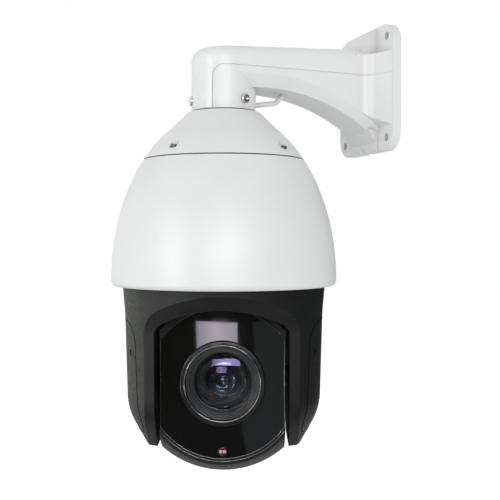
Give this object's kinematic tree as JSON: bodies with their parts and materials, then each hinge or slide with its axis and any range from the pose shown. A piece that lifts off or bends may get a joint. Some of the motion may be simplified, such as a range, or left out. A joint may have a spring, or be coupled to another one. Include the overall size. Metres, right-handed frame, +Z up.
{
  "type": "ptz camera",
  "caption": "Pan-tilt-zoom dome camera: white dome on a cast wall arm, black yoke and a ball head with a glass front that turns, tilts, zooms and focuses.",
  "frame": {"origin": "centre of the wall plate's mounting face", "axes": "+Y into the wall, out of the plate's back; -Y is the way the arm reaches; +Z up"},
  "size_m": [0.22, 0.2725, 0.438],
  "materials": {
    "white_coat": "satin powder coat",
    "black_coat": "matte textured black",
    "black_shell": "matte textured black",
    "smoked_glass": "gloss black tinted glass",
    "clear_glass": "coated optical glass",
    "gloss_black": "gloss black",
    "barrel_black": "black anodised",
    "rubber": "matte rubber",
    "steel": "bright",
    "aluminium": "machined",
    "circuit": "solder mask",
    "motor": "satin",
    "nylon": "matte",
    "led": "clear epoxy",
    "sensor_red": "red tinted window"
  },
  "bodies": {
    "root": {"wall_bracket": "white_coat", "neck_clamp_screws": "steel", "pipe_adapter": "aluminium", "cable_gland": "rubber", "top_cap": "white_coat", "top_cap_screws": "steel", "seam_gasket": "rubber", "main_housing": "white_coat", "base_plate": "aluminium", "base_plate_screws": "steel", "board_posts": "nylon", "main_board": "circuit", "power_board": "circuit", "pan_motor": "motor", "pan_belt": "rubber", "slip_ring_stator": "gloss_black", "slip_ring_bridge": "steel", "pan_bearing_outer_race": "steel", "pan_bearing_balls": "steel"},
    "pan_drive": {"pan_motor_pulley": "aluminium"},
    "pan": {"pan_bearing_inner_race": "steel", "pan_hub": "aluminium", "pan_circlip": "steel", "pan_pulley": "aluminium", "slip_ring_rotor": "gloss_black", "yoke": "black_coat", "right_arm_cover": "black_coat", "left_arm_cover": "black_coat", "arm_cover_gaskets": "rubber", "arm_cover_screws": "steel", "tilt_motor": "motor", "tilt_belt": "rubber", "tilt_bearing_outer_races": "steel", "tilt_bearing_balls": "steel"},
    "tilt_drive": {"tilt_motor_pulley": "aluminium"},
    "head": {"tilt_bearing_inner_races": "steel", "tilt_shafts": "steel", "tilt_pulley": "aluminium", "head_rear_shell": "black_shell", "head_gasket": "rubber", "head_front_shell": "black_shell", "head_screws": "steel", "glass_seal": "rubber", "front_glass": "smoked_glass", "lens_bezel": "gloss_black", "lens_barrel": "barrel_black", "front_lens": "clear_glass", "guide_rods": "steel", "iris_unit": "barrel_black", "sensor_board": "circuit", "lens_motors": "motor", "camera_chassis": "aluminium", "ir_board": "circuit", "ir_leds": "led", "light_sensor": "sensor_red"},
    "zoom": {"zoom_carriage": "barrel_black", "zoom_lens": "clear_glass"},
    "focus": {"focus_carriage": "barrel_black", "focus_lens": "clear_glass"},
    "filter": {"infrared_filter": "clear_glass"}
  },
  "joints": [
    {"name": "pan_turn", "type": "hinge", "parent": "root", "child": "pan", "pos_m": [0, -0.1625, -0.2845], "axis": [0, 0, 1], "continuous": true},
    {"name": "pan_motor_turn", "type": "hinge", "parent": "root", "child": "pan_drive", "pos_m": [0, -0.1065, -0.16], "axis": [0, 0, 1], "continuous": true},
    {"name": "tilt_turn", "type": "hinge", "parent": "pan", "child": "head", "pos_m": [0, -0.1625, -0.2845], "axis": [0.3272, 0.9449, 0], "range_deg": [-15, 90]},
    {"name": "tilt_motor_turn", "type": "hinge", "parent": "pan", "child": "tilt_drive", "pos_m": [-0.02291, -0.22865, -0.236], "axis": [0.3272, 0.9449, 0], "range_deg": [-38.5, 226]},
    {"name": "zoom_travel", "type": "slide", "parent": "head", "child": "zoom", "axis": [-0.9449, 0.3272, 0], "range_m": [0, 0.014]},
    {"name": "focus_travel", "type": "slide", "parent": "head", "child": "focus", "axis": [0.9449, -0.3272, 0], "range_m": [0, 0.005]},
    {"name": "filter_travel", "type": "slide", "parent": "head", "child": "filter", "axis": [0.3272, 0.9449, 0], "range_m": [0, 0.009]}
  ],
  "couplings": [
    {"joint": "pan_motor_turn", "follows": "pan_turn", "ratio": 5.9688},
    {"joint": "tilt_motor_turn", "follows": "tilt_turn", "ratio": 2.5}
  ]
}
